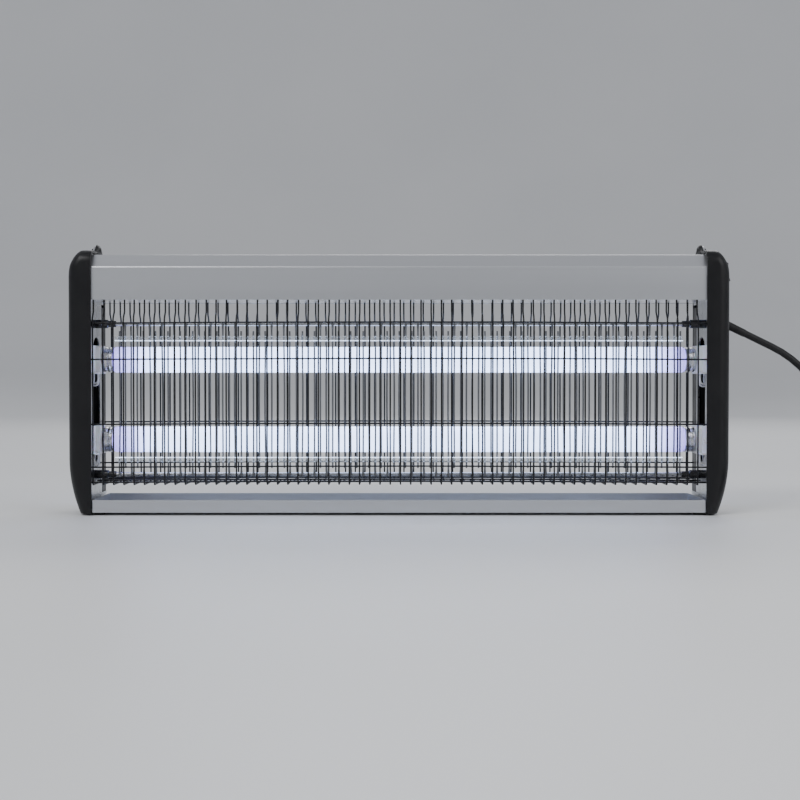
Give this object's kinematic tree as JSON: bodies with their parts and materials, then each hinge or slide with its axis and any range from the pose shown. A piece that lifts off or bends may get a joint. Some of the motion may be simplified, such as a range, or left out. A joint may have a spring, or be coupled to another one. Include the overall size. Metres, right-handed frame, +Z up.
{
  "type": "electric bug zapper",
  "caption": "Long rectangular insect killer: glowing tubes and a high-voltage wire grid between black wire guards, silver top housing and tray, black end caps, power cord with coil and plug.",
  "frame": {"origin": "on the table, under the middle of the body", "axes": "+X to the switch and cord end, +Y to the back, +Z up; the front faces -Y"},
  "size_m": [0.8646, 0.1535, 0.2666],
  "materials": {
    "cap_plastic": "satin black moulding, fine grain",
    "plate_steel": "zinc-plated sheet",
    "housing_metal": "silver-grey satin sheet",
    "guard_wire": "black powder coat",
    "grid_wire": "drawn wire, dulled",
    "spacer_plastic": "clear moulded plastic",
    "insulator_plastic": "dark moulded",
    "holder_plastic": "white moulded",
    "lamp_glass": "phosphor-coated tube",
    "lamp_cap": "spun",
    "contact_brass": "plain",
    "foot_rubber": "moulded",
    "switch_plastic": "polished black",
    "ballast_steel": "lacquered laminations",
    "starter_plastic": "white moulded",
    "transformer_resin": "varnished winding and core",
    "board_laminate": "phenolic laminate",
    "capacitor_resin": "dipped resin",
    "terminal_nylon": "natural nylon",
    "fuse_glass": "clear, metal ends",
    "lead_white": "insulated wire",
    "lead_black": "insulated wire",
    "screw_steel": "zinc-plated",
    "cord_sheath": "black flexible sheath",
    "tie_plastic": "black strip",
    "plug_plastic": "black moulded",
    "pin_metal": "nickel-plated"
  },
  "bodies": {
    "root": {"ballast_left": "ballast_steel", "ballast_right": "ballast_steel", "cap_screws": "screw_steel", "chassis_plate": "plate_steel", "cord_clamp": "switch_plastic", "cord_coil": "cord_sheath", "cord_tie": "tie_plastic", "electrode_lower": "grid_wire", "electrode_spacer_lower": "spacer_plastic", "electrode_spacer_upper": "spacer_plastic", "electrode_upper": "grid_wire", "end_cap_left": "cap_plastic", "end_cap_right": "cap_plastic", "end_plate_left": "plate_steel", "end_plate_right": "plate_steel", "feet": "foot_rubber", "front_guard": "guard_wire", "fuse": "fuse_glass", "fuse_holder": "switch_plastic", "housing_screws": "screw_steel", "hv_capacitors": "capacitor_resin", "hv_leads": "lead_black", "hv_transformer": "transformer_resin", "insulator_lower_left": "insulator_plastic", "insulator_lower_right": "insulator_plastic", "insulator_upper_left": "insulator_plastic", "insulator_upper_right": "insulator_plastic", "lamp_holder_lower_left": "holder_plastic", "lamp_holder_lower_right": "holder_plastic", "lamp_holder_upper_left": "holder_plastic", "lamp_holder_upper_right": "holder_plastic", "lamp_leads_left": "lead_white", "lamp_leads_right": "lead_white", "mains_leads": "lead_black", "multiplier_board": "board_laminate", "plate_screws": "screw_steel", "plug_body": "plug_plastic", "plug_pins": "pin_metal", "power_cord": "cord_sheath", "rear_guard": "guard_wire", "starter_sockets": "starter_plastic", "starters": "starter_plastic", "strain_relief": "cord_sheath", "switch_body": "switch_plastic", "switch_terminals": "contact_brass", "terminal_block": "terminal_nylon", "top_housing": "housing_metal", "tray_rail_left": "plate_steel", "tray_rail_right": "plate_steel"},
    "tray": {"collection_tray": "housing_metal"},
    "rocker": {"switch_rocker": "switch_plastic"},
    "lamp_upper": {"lamp_glass_upper": "lamp_glass", "lamp_caps_upper": "lamp_cap", "lamp_pins_upper": "contact_brass", "lamp_rotors_upper": "holder_plastic"},
    "lamp_lower": {"lamp_glass_lower": "lamp_glass", "lamp_caps_lower": "lamp_cap", "lamp_pins_lower": "contact_brass", "lamp_rotors_lower": "holder_plastic"}
  },
  "joints": [
    {"name": "tray_slide", "type": "slide", "parent": "root", "child": "tray", "axis": [0, -1, 0], "range_m": [0, 0.075]},
    {"name": "switch_rock", "type": "hinge", "parent": "root", "child": "rocker", "pos_m": [0.3215, -0.01, 0.237], "axis": [0, 1, 0], "range_deg": [0, 16]},
    {"name": "lamp_upper_twist", "type": "hinge", "parent": "root", "child": "lamp_upper", "pos_m": [0, 0, 0.1519], "axis": [1, 0, 0], "range_deg": [0, 90]},
    {"name": "lamp_lower_twist", "type": "hinge", "parent": "root", "child": "lamp_lower", "pos_m": [0, 0, 0.0724], "axis": [1, 0, 0], "range_deg": [0, 90]}
  ]
}
